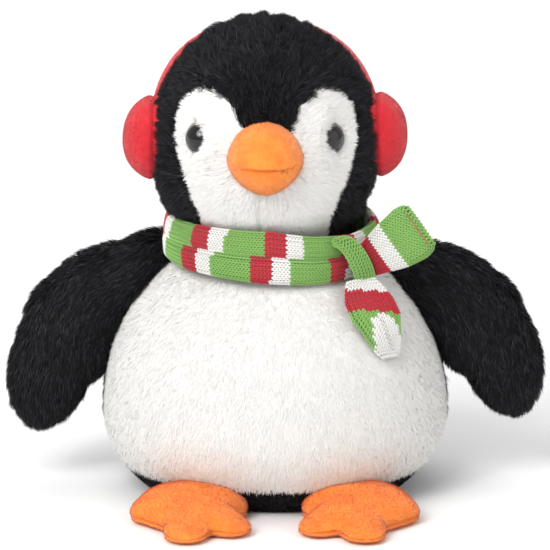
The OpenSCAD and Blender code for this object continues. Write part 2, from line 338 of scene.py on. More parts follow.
RED_PILE = shades("red_pile", [(0.60, 0.012, 0.022), (0.74, 0.02, 0.035), (0.86, 0.05, 0.065)],
                  0.65, 0.25)
CLOTHS = {"black": (BLACK_SKIN, BLACK_PILE, "black_fur"), "white": (WHITE_SKIN, WHITE_PILE, "white_plush"),
          "orange": (ORANGE_SKIN, ORANGE_PILE, "orange_plush"), "red": (RED_SKIN, RED_PILE, "red_velour")}
SHORT = {"parts": 1, "soft": 0.9, "wild": 0.5}  # what all the short piles have alike
STUFFING = fabric("polyester_fibre", (0.78, 0.78, 0.74), (0.93, 0.93, 0.90), 400, 900, 1.0, 0.9)
POUCH = fabric("pouch_cotton", (0.55, 0.47, 0.36), (0.72, 0.64, 0.52), 1200, 2400, 0.3)
ORANGE_THREAD = strand("orange_thread", (0.75, 0.16, 0.02), 0.6)
SEAM_THREAD = strand("seam_thread", (0.42, 0.41, 0.39), 0.7)


def weave_label():
    """Satin ribbon: fine threads one way, in its roughness and bump."""
    mat, nodes, links, shader = principled("label_satin", (0.86, 0.86, 0.84), 0.3)
    wave = nodes.new("ShaderNodeTexWave")
    wave.inputs["Scale"].default_value = 500
    wave.inputs["Distortion"].default_value = 0.5
    links.new(nodes.new("ShaderNodeTexCoord").outputs["Object"], wave.inputs["Vector"])
    links.new(span(nodes, links, wave.outputs["Fac"], 0.3, 0.5), shader.inputs["Roughness"])
    bump(nodes, links, shader, wave.outputs["Fac"], 0.3, 0.1)
    return mat


def washer_plastic():
    mat, nodes, links, shader = principled("washer_plastic", (0.8, 0.8, 0.78))
    grain = noise(nodes, links, 2500, 2)
    links.new(span(nodes, links, grain, 0.35, 0.5), shader.inputs["Roughness"])
    bump(nodes, links, shader, grain, 0.15, 0.05)
    return mat


# ---------------- pile

DROOP = 0.15  # how much the outer half of a fibre hangs


def grow(name, skin, materials, count, length, width, flow, rise=35.0, parts=2, clump=0.0, pull=0.5,
         wild=0.25, keep=None, soft=0.75, odds=None):
    """Pile on a skin: tapered fibres that lean along flow, gathered into tufts clump millimetres apart.

    length, and rise, which is how far the fibres stand up from the skin in degrees, are numbers or
    functions of the roots. A fibre has 1 or 2 parts, and soft is how far its shading follows the skin's.
    """
    verts, tris = skin
    rng = seeded(name)
    normals = vertex_normals(verts, tris)
    a, b, c = (verts[tris[:, k]] for k in range(3))
    area = np.linalg.norm(np.cross(b - a, c - a), axis=1) / 2
    pick = rng.choice(len(tris), count, p=area / area.sum())
    u, v = rng.random(count), rng.random(count)
    flip = u + v > 1
    u[flip], v[flip] = 1 - u[flip], 1 - v[flip]
    share = np.stack([1 - u - v, u, v], 1)[:, :, None]
    root = (verts[tris[pick]] * share).sum(1)
    normal = unit((normals[tris[pick]] * share).sum(1))
    if keep is not None:
        held = keep(root)
        root, normal = root[held], normal[held]
    count = len(root)
    lean = flow(root)
    lean = lean + rng.normal(size=lean.shape) * wild * np.linalg.norm(lean, axis=1, keepdims=True)
    lean = unit(lean - (lean * normal).sum(1, keepdims=True) * normal)
    stand = rise(root)[:, None] if callable(rise) else rise
    tilt = np.radians(stand + rng.normal(size=(count, 1)) * 9)
    first = unit(lean * np.cos(tilt) + normal * np.sin(tilt))
    long = (length(root) if callable(length) else np.full(count, float(length)))[:, None]
    long = long * rng.uniform(0.72, 1.15, (count, 1))
    second = unit(first + lean * 0.35 + rng.normal(size=root.shape) * 0.12 + np.array([0, 0, -DROOP]))
    middle = root + first * long * 0.5
    tip = middle + second * long * 0.5
    if clump:
        chosen = rng.choice(count, max(2, int(area.sum() / clump ** 2)))
        tree = KDTree(len(chosen))
        for n, m in enumerate(chosen):
            tree.insert(root[m], n)
        tree.balance()
        near = chosen[np.array([tree.find(p)[1] for p in root])]
        strength = pull * rng.uniform(0.5, 1.0, (count, 1))
        away = root - root[near]
        tip = tip + (tip[near] + away * 0.25 - tip) * strength
        middle = middle + (middle[near] + away * 0.6 - middle) * strength * 0.55
    roll = np.radians(rng.normal(size=(count, 1)) * 28)
    flat = unit(np.cross(first, normal))
    flat = unit(flat * np.cos(roll) + np.cross(first, flat) * np.sin(roll))
    wide = width * rng.uniform(0.75, 1.25, (count, 1)) / 2
    faces_out = np.cross(flat, first)
    sign = np.where((faces_out * normal).sum(1, keepdims=True) < 0, -1.0, 1.0)
    flat = flat * sign
    sunk = root - normal * PILE_SINK
    if parts == 1:
        points = np.stack([sunk - flat * wide, sunk + flat * wide, tip], 1)
        corners = np.array([[0, 1, 2]])
    else:
        points = np.stack([sunk - flat * wide, sunk + flat * wide, middle - flat * wide * 0.8,
                           middle + flat * wide * 0.8, tip], 1)
        corners = np.array([[0, 1, 3], [0, 3, 2], [2, 3, 4]])
    points[..., 2] = np.maximum(points[..., 2], PILE_FLOOR)
    each = points.shape[1]
    faces = (np.arange(count)[:, None, None] * each + corners[None]).reshape(-1, 3)
    shade = unit(normal * soft + np.cross(flat, first) * (1 - soft) + rng.normal(size=normal.shape) * 0.1)
    odds = odds or [1 / len(materials)] * len(materials)
    which = rng.choice(len(materials), count, p=np.array(odds) / sum(odds))
    return make_object(name, points.reshape(-1, 3), faces, materials, np.repeat(which, len(corners)),
                       np.repeat(shade, each, axis=0))


def settle(obj, body=None, nodes=(), joint=None):
    """Hides the CAD nodes a piece stands for; with a joint the piece only has its transform baked in, else
    it moves with a body.
    """
    if nodes:
        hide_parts(*nodes)
    if joint:
        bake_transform(obj)
    else:
        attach(obj, body)


def clothe(part, skin, cloth, fill, body=None, joint=None, **pile):
    """A panel and its pile: they stand for the CAD node named part and move together."""
    backing, fibres, slot = CLOTHS[cloth]
    settle(make_object(part + "_cover", *skin, [backing]), body, [part], joint)
    settle(grow(part + "_pile", skin, fibres, **pile), body, joint=joint)


FILLING_SIZE = 0.88


def pack_full(name, verts, tris, node, joint):
    """A limb's loose filling, just inside its cover."""
    middle = verts.mean(0)
    inner = middle + (verts - middle) * FILLING_SIZE
    settle(make_object(name, inner, tris, [STUFFING]), nodes=[node], joint=joint)


# ---------------- camera, light and floor

def aim(obj, target):
    obj.rotation_mode = "QUATERNION"
    obj.rotation_quaternion = (Vector(target) - obj.location).to_track_quat("-Z", "Y")


CAMERA_RISE, CAMERA_REACH, CAMERA_LENS = math.radians(14), 4.653, 500
CAMERA_TARGET = Vector((0, -0.02, 0.1373))
SUNS = [("key", (-1.0, -1.5, 1.7), 2.1, 40), ("glint", (-1.0, -1.6, 1.5), 0.35, 7),
        ("fill", (1.6, -1.2, 0.9), 0.5, 60), ("top", (-0.3, 0.8, 2.0), 0.55, 50)]
FLOOR_REACH = 6000


def studio():
    camera = bpy.data.objects.new("camera", bpy.data.cameras.new("camera"))
    camera.data.lens = CAMERA_LENS
    camera.data.clip_end = 60
    back = Vector((0, -math.cos(CAMERA_RISE), math.sin(CAMERA_RISE)))
    camera.location = CAMERA_TARGET + CAMERA_REACH * back
    bpy.context.scene.collection.objects.link(camera)
    aim(camera, CAMERA_TARGET)
    bpy.context.scene.camera = camera
    for name, place, strength, spread in SUNS:
        light = bpy.data.objects.new(name, bpy.data.lights.new(name, "SUN"))
        light.data.energy = strength
        light.data.angle = math.radians(spread)
        light.location = place
        bpy.context.scene.collection.objects.link(light)
        aim(light, (0, 0, 0.14))
    world = bpy.data.worlds.new("studio")
    world.use_nodes = True
    world.node_tree.nodes["Background"].inputs["Color"].default_value = (1, 1, 1, 1)
    world.node_tree.nodes["Background"].inputs["Strength"].default_value = 0.62
    bpy.context.scene.world = world
    bpy.context.scene.view_settings.view_transform = "Standard"
    mat, nodes, links, shader = principled("floor", (0.93, 0.93, 0.93))
    links.new(span(nodes, links, noise(nodes, links, 8, 2), 0.7, 0.8), shader.inputs["Roughness"])
    grid = np.array([[x, y, 0.0] for y in (-1, 1) for x in (-1, 1)]) * FLOOR_REACH
    floor = make_object("floor", grid, [[0, 1, 3], [0, 3, 2]], [mat])


studio()


# ---------------- head

# height over the head's middle, and how far out the white reaches there or where it starts
FACE_EDGE = [(-70, 33), (-49, 36), (-32, 38.5), (-16, 43.5), (-1, 49.5), (10, 51.8), (22, 51.2),
             (30, 48.5), (36, 43.5), (39.5, 38), (41, 33)]
FACE_NOTCH = [(8, 0), (16, 10), (24, 16), (30, 18.5), (35, 22), (39, 26.5), (41, 33)]
FACE_SHIFT = 0.5
FACE_SEAM_X = -2.8
CROWN_HALF_WIDTH = 20


def eye_frame(side):
    """The middle of an eye's base on the head, and the way it looks."""
    off = np.array([side * EYE_SPREAD, 0, EYE_RISE])
    off[1] = -HEAD_RADII[1] * math.sqrt(1 - ((off / HEAD_RADII) ** 2).sum())
    return HEAD + off, unit(off / HEAD_RADII ** 2)


def off_axis(points, side):
    """How far points are from an eye's axis, and how far along the head's inner side of it they are."""
    middle, look = eye_frame(side)
    away = points - middle
    flat = away - (away @ look)[:, None] * look
    inward = unit(np.cross([0, 0, -side], look))
    return np.linalg.norm(flat, axis=1), flat @ inward


def in_face(points):
    p = points - HEAD
    out = np.interp(p[:, 2], *zip(*FACE_EDGE))
    inner = np.interp(p[:, 2], *zip(*FACE_NOTCH))
    wide = np.abs(p[:, 0] - FACE_SHIFT)
    return (p[:, 1] < 0) & (wide < out) & (wide >= inner) & (p[:, 2] < FACE_EDGE[-1][0])


def head_skin():
    ball, tris = icosphere(7)
    base = ball * HEAD_RADII
    normal = unit(ball / HEAD_RADII)
    lift = ripple(base, 45, "head") * 0.8
    front = np.clip(-base[:, 1] / HEAD_RADII[1], 0, 1)
    face = np.exp(-((base[:, 0] / 40) ** 2 + ((base[:, 2] + 12) / 42) ** 2)) * front
    lift += 4.5 * face
    for side in (LEFT, RIGHT):
        away, inward = off_axis(base + HEAD, side)
        seat = bell(away, 12.5, 4)
        lift = lift * (1 - seat) - 0.8 * seat
        lift += 3.5 * bell(away - 12.5, 5.5) * np.clip(inward / 9, 0, 1) * front
    lift -= 1.7 * bell(base[:, 0] - FACE_SEAM_X, 1.6) * (base[:, 1] < 0) * (base[:, 2] < 0)
    edge = np.abs(np.abs(base[:, 0]) - CROWN_HALF_WIDTH)
    lift -= 1.0 * bell(edge, 1.8) * (base[:, 1] > -20) * (base[:, 2] > -40)
    return over(base + HEAD + normal * lift[:, None], "head_stuffing"), tris


def away_from_beak(points):
    """Down and outwards from the beak over the face, up and back over the crown."""
    p = points - (HEAD + np.array([0, -55, -2]))
    flow = unit(p) + np.array([0, 0.25, -0.10])
    back = np.clip((points[:, 1] - 5) / 25, 0, 1)[:, None]
    return flow * (1 - back) + np.array([0, 0.25, -1.0]) * back


def tousled(points):
    """The same, with whorls in it."""
    whorl = np.stack([ripple(points, 24, "whorl_" + axis) for axis in "xyz"], 1)
    return away_from_beak(points) + whorl * 0.5


def make_head():
    verts, tris = head_skin()
    middle = verts[tris].mean(1)
    above_neck = middle[:, 2] > NECK_Z + 0.8
    white = in_face(middle)
    dx = middle[:, 0] - HEAD[0]
    crown = (np.abs(dx) < CROWN_HALF_WIDTH) & ~white
    panels = {"crown_panel": crown}
    for side, name in SIDE_NAME.items():
        panels["side_panel_" + name] = ~white & ~crown & (dx * side > 0)
        panels["face_panel_" + name] = white & ((dx - FACE_SEAM_X) * side > 0)

    def clear(points):
        """Where fur grows: not under the neck, an eye, an earmuff, the beak or the headband."""
        held = points[:, 2] > NECK_Z + 3
        for side in (LEFT, RIGHT):
            away, _ = off_axis(points, side)
            held &= (away > EYE_R - 0.8) | (points[:, 1] > 0)
            muff = (points - (HEAD + [side * 63, MUFF_Y, MUFF_Z - HEAD[2]])) / [40, 24, 24]
            held &= (muff ** 2).sum(1) > 1
        beak = (points - BEAK) / [21, 40, 19]
        held &= (beak ** 2).sum(1) > 1
        band = (np.abs(points[:, 1] - BAND_Y) < 7) & (points[:, 2] > 222)
        return held & ~band

    def beside_eye(points):
        """1 on the muzzle right beside an eye, 0 away from there."""
        return sum(bell(away - 11, 3.5) * np.clip((inward - 2) / 5, 0, 1)
                   for away, inward in (off_axis(points, side) for side in (LEFT, RIGHT)))

    def white_rise(points):
        return 38 + 16 * beside_eye(points)

    def white_length(points):
        long = 6.0 + 0.3 * beside_eye(points)
        for side in (LEFT, RIGHT):
            away, inward = off_axis(points, side)
            long -= bell(away, 15) * np.where(inward > 2, 0, 3.2)
        low = np.clip((HEAD[2] - 12 - points[:, 2]) / 25, 0, 1)
        return np.clip(long - 1.6 * low, 2.5, 9.5)

    def white_flow(points):
        flow = away_from_beak(points)
        for side in (LEFT, RIGHT):
            away, inward = off_axis(points, side)
            near = bell(away, 13)[:, None]
            towards = unit(points - eye_frame(side)[0]) * np.where(inward > 2, -1.0, 1.0)[:, None]
            flow = flow * (1 - 0.7 * near) + towards * near
        return flow

    for part, mask in panels.items():
        skin = take(verts, tris, mask & above_neck)
        if part.startswith("face"):
            clothe(part, skin, "white", 0.85, "head", count=34000, length=white_length, width=0.5,
                   flow=white_flow, rise=white_rise, clump=3.2, pull=0.35, keep=clear, soft=0.92,
                   odds=[1, 2, 2])
        else:
            clothe(part, skin, "black", 0.85, "head", count=56000 if part == "crown_panel" else 60000,
                   length=9, width=0.4, flow=tousled, rise=42, clump=5.5, pull=0.75, keep=clear,
                   soft=0.4, wild=0.4, odds=[3, 3, 2, 1.4])


# ---------------- beak and eyes

def beak_skin():
    """A rounded lozenge seen from the front, whose lower lip is set back under a shallow mouth seam."""
    ball, tris = icosphere(6)
    power = 1.75
    size = (np.abs(ball[:, [0, 2]]) ** power).sum(1) + np.abs(ball[:, 1]) ** 2.2
    ball = ball / (size ** (1 / power))[:, None]
    upper = ball[:, 2] > 0
    base = ball * np.where(upper[:, None], BEAK_UPPER, BEAK_LOWER)
    mouth = bell(base[:, 2] + MOUTH_DROP, 1.3) * np.clip(-ball[:, 1] * 1.6, 0, 1)
    base -= unit(base) * (0.45 * mouth * bell(base[:, 0], 15, 4))[:, None]
    base += unit(base) * (ripple(base, 14, "beak") * 0.45)[:, None]
    return over(base + BEAK, "beak_stuffing"), tris


def make_beak():
    verts, tris = beak_skin()
    middle = verts[tris].mean(1)
    upper = middle[:, 2] > BEAK[2] - MOUTH_DROP
    for part, mask in (("beak_upper", upper), ("beak_lower", ~upper)):
        clothe(part, take(verts, tris, mask & (middle[:, 1] < -38)), "orange", 0.9, "head", count=26000,
               length=1.5, width=0.3, flow=lambda p: (p - BEAK) * [1, 0.2, 1] + [0, -4, -6],
               rise=32, **SHORT)
    rim = verts[(np.abs(verts[:, 2] - BEAK[2] + MOUTH_DROP) < 1) & (verts[:, 1] < -70)]
    across = np.linspace(-14, 17, 19)
    ahead = np.array([rim[np.abs(rim[:, 0] - BEAK[0] - x).argmin(), 1] for x in across])
    path = np.stack([BEAK[0] + across, ahead - 0.5, np.full(len(across), BEAK[2] - MOUTH_DROP)], 1)
    stitches("beak_mouth_stitches", path, ORANGE_THREAD, 0.8, "head")


def stitches(name, path, material, half, body):
    """Short sewn threads, one at each point of a path, that slant across it."""
    ball, ball_tris = icosphere(2)
    verts, tris = [], []
    ahead = unit(np.gradient(path, axis=0))
    for n, (p, t) in enumerate(zip(path, ahead)):
        side = unit(np.cross(t, [0, 0, 1]))
        slant = unit(t * 0.8 + np.array([0, 0, 0.5]))
        third = np.cross(slant, side)
        verts.append(p + ball[:, :1] * slant * half + ball[:, 1:2] * side * 0.35
                     + ball[:, 2:] * third * 0.3)
        tris.append(ball_tris + n * len(ball))
    settle(make_object(name, np.vstack(verts), np.vstack(tris), [material]), body)


def eye_material(side):
    """A dark pupil, a brown ring round it and a black rim, under a clear glossy dome."""
    mat, nodes, links, shader = principled("eye_" + SIDE_NAME[side] + "_plastic", specular=0.15)
    middle, look = eye_frame(side)

    def vector_math(operation, source, other=(0, 0, 0)):
        node = nodes.new("ShaderNodeVectorMath")
        node.operation = operation
        node.inputs[1].default_value = tuple(other)
        links.new(source, node.inputs[0])
        return node.outputs

    place = nodes.new("ShaderNodeTexCoord").outputs["Object"]
    away = vector_math("SUBTRACT", place, middle * MM)["Vector"]
    far = vector_math("LENGTH", vector_math("CROSS_PRODUCT", away, look)["Vector"])["Value"]
    ramp = nodes.new("ShaderNodeValToRGB")
    stops = [(0.0, (0.002, 0.002, 0.002)), (0.70, (0.002, 0.002, 0.002)),
             (0.76, (0.020, 0.010, 0.006)), (0.86, (0.09, 0.05, 0.03)),
             (0.94, (0.27, 0.17, 0.12)), (0.98, (0.03, 0.02, 0.015))]
    while len(ramp.color_ramp.elements) < len(stops):
        ramp.color_ramp.elements.new(0.5)
    for element, (at, colour) in zip(ramp.color_ramp.elements, stops):
        element.position = at
        element.color = (*colour, 1)
    scaled = nodes.new("ShaderNodeMath")
    scaled.operation = "DIVIDE"
    scaled.inputs[1].default_value = EYE_R * MM
    links.new(far, scaled.inputs[0])
    links.new(scaled.outputs["Value"], ramp.inputs["Fac"])
    links.new(ramp.outputs["Color"], shader.inputs["Base Color"])
    shader.inputs["Coat Weight"].default_value = 0.9
    shader.inputs["Coat Roughness"].default_value = 0.03
    links.new(span(nodes, links, noise(nodes, links, 300, 2), 0.12, 0.2), shader.inputs["Roughness"])
    return mat


# ---------------- earmuffs

def make_muffs():
    ball, tris = icosphere(6)
    power = 2.2
    puffed = ball / ((np.abs(ball) ** power).sum(1) ** (1 / power))[:, None]
    for side, name in SIDE_NAME.items():
        centre = HEAD + np.array([side * MUFF_REACH, MUFF_Y, MUFF_Z - HEAD[2] + MUFF_OFFSET * side])
        base = puffed * MUFF_RADII
        base -= unit(base) * (1.8 * bell(base[:, 0] * side - MUFF_SEAM, 1.6))[:, None]
        base += unit(base) * (ripple(base, 22, "muff_" + name) * 0.5)[:, None]
        out = base[tris].mean(1)[:, 0] * side
        for part, mask in (("cover", out > MUFF_SEAM), ("lining", (out <= MUFF_SEAM) & (out > MUFF_INNER))):
            clothe(f"earmuff_{part}_{name}", take(base + centre, tris, mask), "red", 0.8, "head",
                   count=26000, length=1.3, width=0.28, flow=steady(0, 0, -1.0), rise=38, **SHORT)
    sweep = np.radians(np.linspace(2, 178, 120))
    lines = []
    for a in np.linspace(0, 2 * math.pi, 24, endpoint=False):
        wide = BAND_HALF_WIDTH * powered(math.cos(a), 0.6)
        thick = BAND_HALF_THICK * powered(math.sin(a), 0.8)
        lines.append(np.stack([(BAND_REACH + thick) * powered(np.cos(sweep), BAND_POWER),
                               np.full(len(sweep), BAND_Y + wide),
                               (BAND_RISE + thick) * powered(np.sin(sweep), BAND_POWER)], 1))
    grid = np.stack(lines, 1) + HEAD
    clothe("headband", (grid.reshape(-1, 3), tube_tris(*grid.shape[:2])), "red", 0.5, "head",
           count=30000, length=1.2, width=0.28, flow=steady(0, 1.0, 0), rise=38, **{**SHORT, "wild": 0.6})


def tube_tris(rows, columns):
    """Triangles over a grid of points whose columns are joined round."""
    a = np.arange((rows - 1) * columns)
    b = a // columns * columns + (a + 1) % columns
    return np.stack([a, a + columns, b, b, a + columns, b + columns], 1).reshape(-1, 3)


# ---------------- body

def make_body():
    ball, tris = icosphere(7)
    up = ball[:, 2] >= 0
    radii = np.where(up[:, None], [BODY_HALF_WIDTH, BODY_HALF_DEPTH, BODY_UP],
                     [BODY_HALF_WIDTH, BODY_HALF_DEPTH, BODY_DOWN])
    base = ball * radii
    normal = unit(ball / radii)
    lift = ripple(base, 60, "body") * 1.2
    lift -= 1.6 * bell(base[:, 1] - SIDE_SEAM_Y, 3)
    lift -= 1.2 * bell(base[:, 0], 2.5) * (base[:, 1] > 20)
    verts = over(base + normal * lift[:, None] + [0, 0, BODY_Z], "body_stuffing")
    low = verts[:, 2] < BASE_SEAM_Z
    verts[low, 2] = np.maximum(verts[low, 2], 0.6)
    middle = verts[tris].mean(1)
    shown = middle[:, 2] < NECK_Z - 2
    base_part = middle[:, 2] < BASE_SEAM_Z
    front = middle[:, 1] < SIDE_SEAM_Y
    panels = {"belly_panel": front & ~base_part, "base_panel": base_part}
    for side, name in SIDE_NAME.items():
        panels["back_panel_" + name] = ~front & ~base_part & (middle[:, 0] * side > 0)

    def down(points):
        return np.stack([points[:, 0] * 0.004, points[:, 1] * 0.003, -np.ones(len(points))], 1)

    def between_neck_and_floor(points):
        return (points[:, 2] < 158) & (points[:, 2] > 1.0)

    piles = {"belly_panel": dict(count=170000, length=4.3, width=0.6, flow=down, rise=21, parts=1,
                                 clump=6.0, pull=0.15, soft=0.96, wild=0.45, odds=[1, 2, 2]),
             "base_panel": dict(count=24000, length=3.0, width=0.45, rise=25, clump=3.5,
                                flow=lambda p: p * [1, 1, 0] + [0, 0, -5], odds=[3, 3, 2, 1])}
    back_pile = dict(count=60000, length=8.5, width=0.5, flow=down, rise=30, clump=5.0, pull=0.5,
                     soft=0.6, odds=[3, 3, 2, 1])
    for part, mask in panels.items():
        clothe(part, take(verts, tris, mask & shown), "white" if part == "belly_panel" else "black",
               0.8, "torso", keep=between_neck_and_floor, **piles.get(part, back_pile))


# ---------------- flippers

def make_flippers():
    forms = [((0, 0, -1), (18, 15, 17), 0), ((-3, 0, 11), (27, 13, 14), 27),
             ((22, 2, -15), (44, 15, 28), 37), ((46, 2, -50), (25, 12.5, 45), -14),
             ((36, 2, -34), (29, 14, 34), 10)]  # root, neck's side, upper arm, hand, middle
    verts, tris = melt(forms, 3.0, 10)
    verts, tris = stuff(verts, tris, 3, 1.5)
    for side, name in SIDE_NAME.items():
        raised = turn(verts * FLIPPER_SIZE[side], (0, 1, 0), -FLIPPER_RAISE[side])
        placed = (raised + SHOULDER) * [side, 1, 1]
        faces = tris if side == LEFT else tris[:, ::-1]
        placed[:, 1] += ripple(placed, 30, "flipper_" + name) * 0.8
        hidden = ((placed - [0, 0, BODY_Z]) / [BODY_HALF_WIDTH - 6, BODY_HALF_DEPTH - 6, BODY_UP - 6])
        outside = (hidden ** 2).sum(1)[faces].mean(1) > 0.8
        pivot = SHOULDER * [side, 1, 1]
        joint = ("torso", "flipper_" + name, pivot + [side * -12, 0, 4], pivot + [side * 22, 0, -14])

        def along(points, pivot=pivot, side=side):
            """Out from the shoulder, then down the flipper."""
            far = np.clip(np.linalg.norm(points - pivot, axis=1) / 60, 0, 1)[:, None]
            return np.array([side * 1.0, 0, -0.35]) * (1 - far) + np.array([side * 0.12, 0, -1.0]) * far

        pack_full("flipper_filling_" + name, placed, faces, "flipper_stuffing_" + name, joint)
        front = placed[faces].mean(1)[:, 1] < SHOULDER[1] + 2
        for part, mask in (("front", front), ("back", ~front)):
            clothe(f"flipper_{part}_{name}", take(placed, faces, mask & outside), "black", 0.7, joint=joint,
                   count=30000, length=8.0, width=0.42, flow=along, rise=28, clump=4.5, pull=0.55,
                   soft=0.55, odds=[3, 3, 2, 1.2])


# ---------------- feet

FOOT_SEAM_Z, FOOT_UNDER, FOOT_TOP, FOOT_MIDDLE = 4.5, 0.5, 21.5, np.array([0.0, -28.0])
FOOT_LIMBS = [((0, -22), (0, -22), 30), ((-14, -14), (14, -14), 20), ((-8, -28), (-24, -52), 13),
              ((0, -28), (3.5, -65), 14), ((8, -20), (25, -24), 13.5), ((-20, -46), (2, -49), 12),
              ((4, -46), (19, -30), 14)]  # the pad, the toes and the webs between them: ends and radius


def foot_reach(angles):
    """How far the foot's outline is from its middle in each direction."""
    far = np.arange(8, 90, 0.25)
    way = np.stack([np.cos(angles), np.sin(angles)], 1)
    points = FOOT_MIDDLE + way[:, None] * far[None, :, None]
    inside = np.zeros(points.shape[:2], bool)
    for start, end, radius in FOOT_LIMBS:
        start, run = np.array(start, float), np.array(end, float) - start
        share = np.clip(((points - start) @ run) / max(run @ run, 1e-9), 0, 1)
        inside |= np.linalg.norm(points - start - share[..., None] * run, axis=-1) < radius
    reach = np.where(inside, far, 0).max(1)
    weights = np.exp(-(np.arange(-9, 10) / 5.0) ** 2)
    padded = np.concatenate([reach[-9:], reach, reach[:9]])
    return np.convolve(padded, weights / weights.sum(), "valid")


def foot_skin():
    """A cushion cut to the foot's outline: a gently domed top, a rounded wall and a seam low down."""
    ball, tris = icosphere(5)
    angles = np.linspace(-math.pi, math.pi, 360, endpoint=False)
    reach = np.interp(np.arctan2(ball[:, 1], ball[:, 0]), angles, foot_reach(angles), period=2 * math.pi)
    level = np.linalg.norm(ball[:, :2], axis=1)
    share = level ** 0.5
    flat = FOOT_MIDDLE + ball[:, :2] / np.maximum(level, 1e-6)[:, None] * (share * reach)[:, None]
    top = FOOT_TOP - 0.0045 * flat[:, 0] ** 2 - 0.25 * np.clip(-18 - flat[:, 1], 0, 80)
    rise = np.abs(ball[:, 2]) ** 0.6
    z = np.where(ball[:, 2] > 0, FOOT_SEAM_Z + (top - FOOT_SEAM_Z) * rise,
                 FOOT_SEAM_Z - (FOOT_SEAM_Z - FOOT_UNDER) * rise)
    return np.column_stack([flat, z]), tris


def make_feet():
    verts, tris = stuff(*foot_skin(), 3, 0.8)
    sides = vertex_normals(verts, tris)
    seam = bell(verts[:, 2] - FOOT_SEAM_Z, 1.0)
    verts = verts - sides * (1.2 * seam)[:, None]
    verts[:, 2] = np.maximum(verts[:, 2], FOOT_UNDER)
    for side, name in SIDE_NAME.items():
        placed = verts * [side, 1, 1] + FOOT_HINGE * [side, 1, 1]
        faces = tris if side == LEFT else tris[:, ::-1]
        lumps = ripple(placed, 16, "foot_" + name) * 0.4
        placed = placed + vertex_normals(placed, faces) * lumps[:, None]
        placed[:, 2] = np.maximum(placed[:, 2], FOOT_UNDER)
        pivot = FOOT_HINGE * [side, 1, 1]
        joint = ("torso", "foot_" + name, pivot + [0, 6, 8], pivot + [0, -18, 8])
        pack_full("foot_filling_" + name, placed, faces, "foot_stuffing_" + name, joint)
        top = placed[faces].mean(1)[:, 2] > FOOT_SEAM_Z
        for part, mask, count in (("top", top, 36000), ("sole", ~top, 20000)):
            clothe(f"foot_{part}_{name}", take(placed, faces, mask), "orange", 0.85, joint=joint,
                   count=count, length=1.6, width=0.3, flow=steady(0, -1.0, -0.5), rise=34,
                   keep=lambda p: p[:, 2] > 0.9, **SHORT)


# ---------------- scarf

def yarn(name, colour):
    """Spun acrylic yarn: fine twisted fibres in the bump, and a matt face."""
    mat, nodes, links, shader = principled(name, colour, 0.3, 0.25)
    fine = noise(nodes, links, 2600, 4)
    links.new(span(nodes, links, fine, 0.7, 0.95), shader.inputs["Roughness"])
    bump(nodes, links, shader, fine, 0.7, 0.25)
    return mat


YARN = [yarn("yarn_green", (0.235, 0.47, 0.105)), yarn("yarn_red", (0.52, 0.018, 0.032)),
        yarn("yarn_white", (0.86, 0.85, 0.82))]
GREEN, RED, WHITE = 0, 1, 2
# Cloth under the stitches: each yarn's colour darkened to about a third, painted shade for the gaps between
# stitches.
KNIT_CLOTH_PAINTED_SHADE = [fabric("knit_cloth_painted_shade_" + name, dark, light, 300, 1600, 0.3)
             for name, dark, light in (("green", (0.045, 0.12, 0.02), (0.07, 0.18, 0.03)),
                                       ("red", (0.16, 0.005, 0.009), (0.22, 0.008, 0.013)),
                                       ("white", (0.40, 0.39, 0.37), (0.52, 0.51, 0.49)))]
WALE, COURSE = 2.4, 2.1  # a stitch's width and height
LEG_SLANT = 24  # degrees between a stitch's leg and the way along the tube
CLOTH_DEPTH = 0.45  # the cloth lies this far under its stitches
CREASE_W = 1.0  # where the band round the neck is folded, from its middle


def leaf():
    """One leg of a knitted stitch along X: a plump leaf, 1 long and 1 wide."""
    rings = [(-0.3, 0.85), (0.3, 0.8)]
    points, tris, sides = [(-0.56, 0, 0)], [], 4
    for x, r in rings:
        for k in range(sides):
            a = 2 * math.pi * k / sides
            points.append((x, 0.5 * r * math.cos(a), 0.5 * r * math.sin(a)))
    points.append((0.56, 0, 0))
    for k in range(sides):
        after = (k + 1) % sides
        tris.append((0, 1 + after, 1 + k))
        for ring in range(len(rings) - 1):
            a, b = 1 + ring * sides + k, 1 + ring * sides + after
            tris += [(a, b, b + sides), (a, b + sides, a + sides)]
        end = 1 + (len(rings) - 1) * sides
        tris.append((end + k, end + after, len(points) - 1))
    return np.array(points), np.array(tris)


